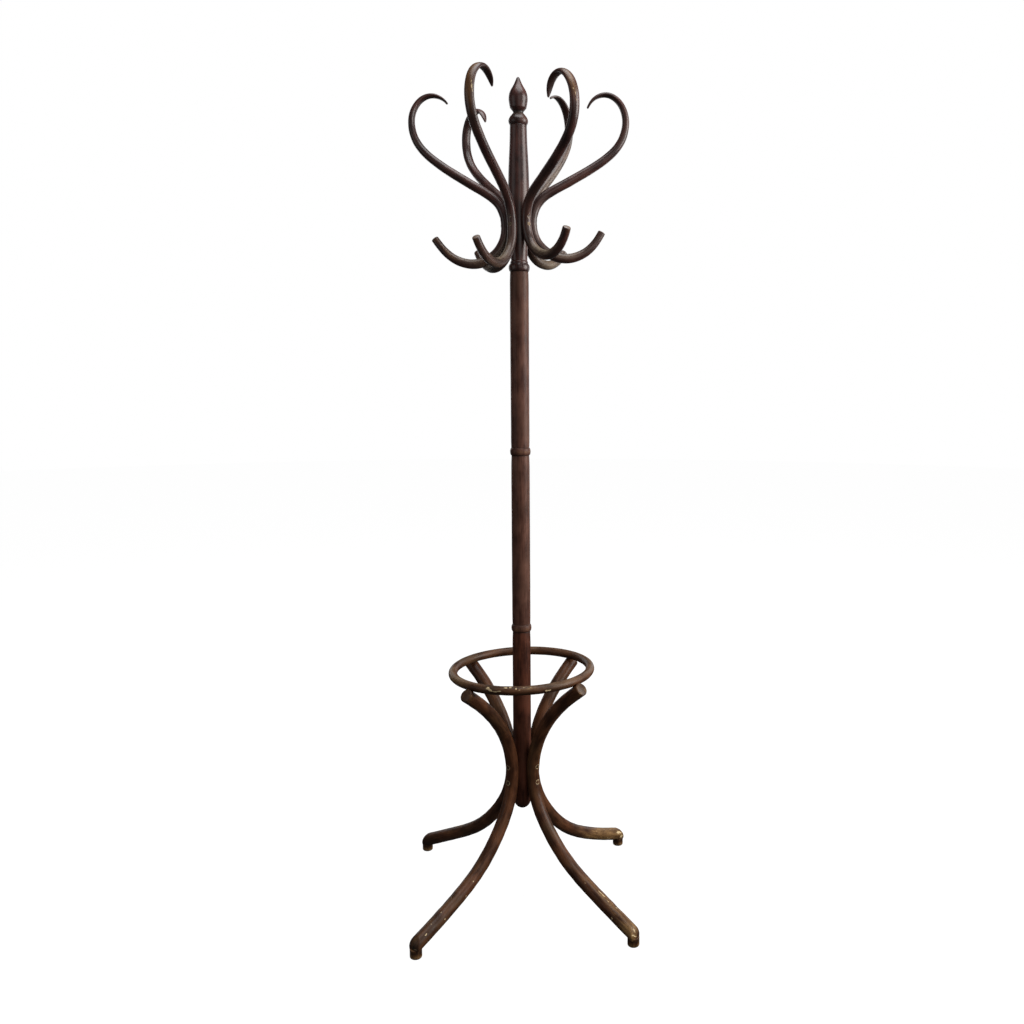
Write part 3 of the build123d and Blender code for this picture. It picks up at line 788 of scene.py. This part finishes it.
# The hoop's own marks, placed in degrees round it and round its section.
HOOP_PATCHES = [
    ("wear", 192, 30, 14, 90, 0.6), ("wear", 215, 20, 14, 60, 0.3), ("wear", 276, 50, 5, 22, 0.45),
    ("chip", 243.8, 36, 1.7, 22, 0.9), ("chip", 246.3, 14, 1.5, 15, 0.9), ("chip", 249.8, 2, 2.3, 9, 0.95),
    ("chip", 253.4, 10, 1.8, 8, 0.85), ("chip", 257.8, 60, 1.5, 14, 0.9), ("chip", 261.2, 66, 1.4, 12, 0.9),
    ("chip", 265.7, 44, 0.8, 22, 0.8), ("chip", 268.4, 24, 0.9, 16, 0.7), ("chip", 271.5, 60, 1.6, 10, 0.6),
    ("chip", 276, 55, 3.5, 14, 0.55), ("chip", 284, -5, 1.2, 8, 0.7), ("chip", 288.3, -10, 1.3, 11, 0.95),
    # The last entry below, a dark patch low on the hoop's outer front, is painted shade on its underside
    # edge.
    ("chip", 291.0, -11, 1.5, 12, 0.95), ("chip", 204, 20, 0.6, 60, 0.5), ("dirt", 262, -45, 30, 35, 0.5),
]


def hoop_mesh():
    turn = np.arange(HOOP_STATIONS) / HOOP_STATIONS * TAU
    angle = np.arange(HOOP_FACETS) / HOOP_FACETS * TAU
    t2, a2 = np.meshgrid(turn, np.degrees(angle), indexing="ij")
    s2 = t2 * HOOP_R
    marks = blank(t2.shape)
    push = 0.12 * ripple(61, s2, a2, 80.0)
    minor = HOOP_D / 2 + push
    out, up = minor * np.cos(np.radians(a2)), minor * np.sin(np.radians(a2))
    points = np.stack([(HOOP_R + out) * np.cos(t2), (HOOP_R + out) * np.sin(t2), up], axis=-1)
    marks["wear"] += 0.12 * turn_window(a2, 40, 80)
    marks["dust"] += 0.35 * turn_window(a2, 80, 60)
    add_patches(HOOP_PATCHES, np.degrees(t2), a2, marks)
    grain = np.stack([out, up, s2 + HOOP_GRAIN], axis=-1)
    lean = Matrix.Rotation(math.radians(HOOP_LEAN), 4, "X")
    tilt = Matrix.Rotation(math.radians(HOOP_TILT), 4, "Y")
    points = placed(points, Matrix.Translation((0, 0, HOOP_Z)) @ lean @ tilt)
    points = np.concatenate([points, points[:1]])
    grain = np.concatenate([grain, grain[:1] + [0, 0, TAU * HOOP_R]])
    marks = {key: np.concatenate([value, value[:1]]) for key, value in marks.items()}
    return grid_mesh("umbrella_hoop_bentwood", points, grain, marks, closed=False)


add_piece("umbrella_hoop_bentwood", hoop_mesh(), LOWER, "bent_wood", "umbrella_hoop")


def foot_paint(z, angle, r, marks):
    marks["wear"] += 0.3 + 0.4 * window(z, 4, 5)
    marks["chip"] += 0.34 * window(z, 6, 5)
    # Painted shade round the upper part of the foot, under the leg's toe.
    marks["dirt"] += 0.8 * window(z, 16, 4)
    # Pale band at the bottom rim: real dust and a painted highlight.
    marks["dust"] += 0.7 * window(z, 0, 4)
    return 0 * r


round_edge = np.radians(np.linspace(0, 90, 9))
foot_profile = np.vstack([
    [(0.5, FOOT_HEIGHT), (9.0, FOOT_HEIGHT), (FOOT_R - 1.0, FOOT_HEIGHT), (FOOT_R - 0.2, FOOT_HEIGHT - 0.5)],
    [(FOOT_R, z) for z in (21.0, 18.0, 15.0, 12.0, 9.0, 6.0)],
    np.stack([FOOT_R - FOOT_ROUND + FOOT_ROUND * np.cos(round_edge),
              FOOT_ROUND - FOOT_ROUND * np.sin(round_edge)], axis=1),
    [(6.0, 0.0), (4.3, 0.0), (4.0, 0.3), (4.0, 4.0), (0.5, 4.0)],
])
for index, (side, (azimuth, reach, *_)) in enumerate(LEGS.items()):
    turn = math.radians(azimuth)
    mesh = lathe(f"foot_{side}_turned", foot_profile, 50 + index, foot_paint, FOOT_FACETS,
                 centre=(reach * math.cos(turn), reach * math.sin(turn)))
    add_piece(f"foot_{side}_turned", mesh, LOWER, "turned_wood", f"foot_{side}")


# A plug's rings: their radii, and how far each drops below the crown.
PLUG_RADII = (0.3, 1.5, 3.0, 4.0, 4.4, 4.7, 4.8, 4.8)
PLUG_DROPS = (0.0, 0.0, 0.02, 0.08, 0.15, 0.3, 0.8, 3.0)
PLUG_PROUD = 0.12


def plug_meshes():
    """Round plugs in the legs' faces, a hair proud of the wood round them."""
    meshes = []
    angle = np.arange(PLUG_FACETS) / PLUG_FACETS * TAU
    for index, (azimuth, reach, *bends) in enumerate(LEGS.values()):
        line = leg_line(reach, *bends)
        for at in passing(line, 0, LEG_SCREW_HEIGHTS, LEG_SCREW_SPAN):
            centre, way = spline_at(line, np.array([at]))
            half = float(leg_size(np.array([at]), line_length(line))[0][0]) / 2
            rings = []
            for radius, drop in zip(PLUG_RADII, PLUG_DROPS):
                side, up = radius * np.cos(angle), radius * np.sin(angle)
                depth = np.sqrt(half**2 - side**2) + PLUG_PROUD - drop
                rings.append(np.stack([
                    centre[0, 0] - way[0, 1] * depth + way[0, 0] * up, side,
                    centre[0, 1] + way[0, 0] * depth + way[0, 1] * up], axis=-1))
            points = placed(np.array(rings), about_axis(azimuth))
            marks = blank(points.shape[:2])
            marks["dirt"] += 0.5 * window(np.array(PLUG_RADII)[:, None], PLUG_RADII[-1], 0.35)
            marks["end"] += 0.3
            grain = points + (80 + 2 * index) * np.array(PLUG_GRAIN)
            meshes.append(grid_mesh("plug", points, grain, marks))
    return meshes


def joined(name, meshes):
    """One mesh of several separate shells."""
    whole = bpy.data.meshes.new(name)
    vertices, faces = [], []
    fields = {key: [] for key in MARKS}
    grain = []
    for mesh in meshes:
        start = len(vertices)
        vertices += [tuple(v.co) for v in mesh.vertices]
        faces += [[start + i for i in p.vertices] for p in mesh.polygons]
        grain += [tuple(d.vector) for d in mesh.attributes["wood"].data]
        for key in MARKS:
            fields[key] += [d.value for d in mesh.attributes[key].data]
        bpy.data.meshes.remove(mesh)
    whole.from_pydata(vertices, [], faces)
    shade_smooth(whole)
    write_fields(whole, grain, fields)
    return whole


plugs_mesh = joined("leg_plugs_turned", plug_meshes())
add_piece("leg_plugs_turned", plugs_mesh, LOWER, "plug_wood", "leg_plugs")

for node, material in (
    ("hook_screws", STEEL), ("leg_screws", STEEL), ("hoop_screws", STEEL), ("foot_screws", STEEL),
    ("pole_dowel_upper", BEECH), ("pole_dowel_middle", BEECH), ("pole_dowel_lower", BEECH),
):
    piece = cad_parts[node]
    piece.data.materials.clear()
    piece.data.materials.append(material)


# ---- Studio ---------------------------------------------------------------------------
def white_stage(name, strength):
    """Even white surround that the object neither reflects nor is lit by."""
    g = Graph(name)
    glow = g.add("ShaderNodeEmission", {"Color": (1, 1, 1, 1), "Strength": strength})
    g.add("ShaderNodeOutputMaterial", {"Surface": glow.outputs[0]})
    g.material.cycles.emission_sampling = "NONE"
    return g.material


def floor_material():
    """Pale floor, almost blown out, that still takes a faint shadow under the feet."""
    g = Graph("pale_floor")
    spread = g.noise(g.add("ShaderNodeTexCoord", {}).outputs["Object"], 3, 2)
    shade = g.mix(spread, (0.09, 0.09, 0.09, 1), (0.10, 0.10, 0.10, 1))
    matte = g.add("ShaderNodeBsdfDiffuse", {"Color": shade})
    glow = g.add("ShaderNodeEmission", {"Color": (1, 1, 1, 1), "Strength": 0.985})
    both = g.add("ShaderNodeAddShader", {0: matte.outputs[0], 1: glow.outputs[0]})
    g.add("ShaderNodeOutputMaterial", {"Surface": both.outputs[0]})
    g.material.cycles.emission_sampling = "NONE"
    return g.material


def stage_mesh(name, rings, material):
    """Surface of revolution about Z from (radius, height) rows, in metres."""
    around = STAGE_FACETS
    turn = np.arange(around) / around * TAU
    verts = [(r * math.cos(t), r * math.sin(t), z) for r, z in rings for t in turn]
    faces = []
    for i in range(len(rings) - 1):
        low, high = i * around, (i + 1) * around
        for j in range(around):
            k = (j + 1) % around
            faces.append((low + j, low + k, high + k, high + j))
    mesh = bpy.data.meshes.new(name)
    mesh.from_pydata(verts, [], faces)
    shade_smooth(mesh)
    mesh.materials.append(material)
    stage = bpy.data.objects.new(name, mesh)
    bpy.context.scene.collection.objects.link(stage)
    return stage


STAGE_R = 14.0
floor = stage_mesh("floor", [(0.001, 0.0), (2.0, 0.0), (6.0, 0.0), (STAGE_R, 0.0)], floor_material())
floor.visible_diffuse = floor.visible_glossy = False
turn = np.radians(np.linspace(0, 89.9, 20))
dome_rows = [(STAGE_R * math.cos(t), STAGE_R * math.sin(t) - 0.001) for t in turn]
backdrop = stage_mesh("backdrop", dome_rows, white_stage("white_backdrop", 1.0))
backdrop.visible_diffuse = backdrop.visible_glossy = backdrop.visible_shadow = False


def area_light(name, location, target, size, power, colour=(1, 1, 1)):
    data = bpy.data.lights.new(name, "AREA")
    data.shape = "RECTANGLE"
    data.size, data.size_y = size
    data.energy = power
    data.color = colour
    light = bpy.data.objects.new(name, data)
    bpy.context.scene.collection.objects.link(light)
    eye, goal = np.array(location, float), np.array(target, float)
    back = (eye - goal) / np.linalg.norm(eye - goal)
    right = np.cross((0, 0, 1), back)
    right /= np.linalg.norm(right)
    up = np.cross(back, right)
    light.matrix_world = Matrix((
        (right[0], up[0], back[0], eye[0]), (right[1], up[1], back[1], eye[1]),
        (right[2], up[2], back[2], eye[2]), (0, 0, 0, 1),
    ))
    light.visible_camera = False


DAYLIGHT = (1, 0.975, 0.94)
area_light("window_right", (3.0, -0.7, 2.0), (0, 0, 1.1), (2.2, 2.6), 130, DAYLIGHT)
area_light("front", (1.2, -3.6, 2.2), (0, 0, 1.0), (2.6, 2.6), 20, DAYLIGHT)
area_light("fill_left", (-3.0, -1.6, 1.8), (0, 0, 1.0), (2.2, 2.6), 12)
area_light("ceiling", (0.4, -0.4, 4.2), (0, 0, 1.0), (2.4, 2.4), 85)
area_light("back_right", (1.9, 2.8, 1.7), (0, 0, 1.0), (2.0, 2.8), 22)
area_light("back_left", (-1.6, 3.0, 1.8), (0, 0, 1.0), (2.0, 2.8), 20)

world = bpy.data.worlds.new("studio")
bpy.context.scene.world = world
world.use_nodes = True
world.node_tree.nodes["Background"].inputs[0].default_value = (1, 1, 1, 1)
world.node_tree.nodes["Background"].inputs[1].default_value = 0.05
bpy.context.scene.view_settings.view_transform = "Standard"


def add_camera():
    """Camera about 2.3 m in front of the stand, a little above its middle, looking slightly down."""
    data = bpy.data.cameras.new("camera")
    data.sensor_width = 36.0
    data.lens = 34.70
    data.shift_x = -0.0781
    data.clip_end = 60.0
    yaw, pitch, roll = 0.07268, 0.13231, 0.0033043
    level = math.cos(pitch)
    forward = np.array([math.sin(yaw) * level, math.cos(yaw) * level, -math.sin(pitch)])
    right = np.cross(forward, (0, 0, 1))
    right /= np.linalg.norm(right)
    up = np.cross(right, forward)
    r2 = math.cos(roll) * right + math.sin(roll) * up
    u2 = -math.sin(roll) * right + math.cos(roll) * up
    eye = (0.0, -2.339, 1.2827)
    camera = bpy.data.objects.new("camera", data)
    camera.matrix_world = Matrix([(r2[i], u2[i], -forward[i], eye[i]) for i in range(3)] + [(0, 0, 0, 1)])
    bpy.context.scene.collection.objects.link(camera)
    bpy.context.scene.camera = camera


add_camera()
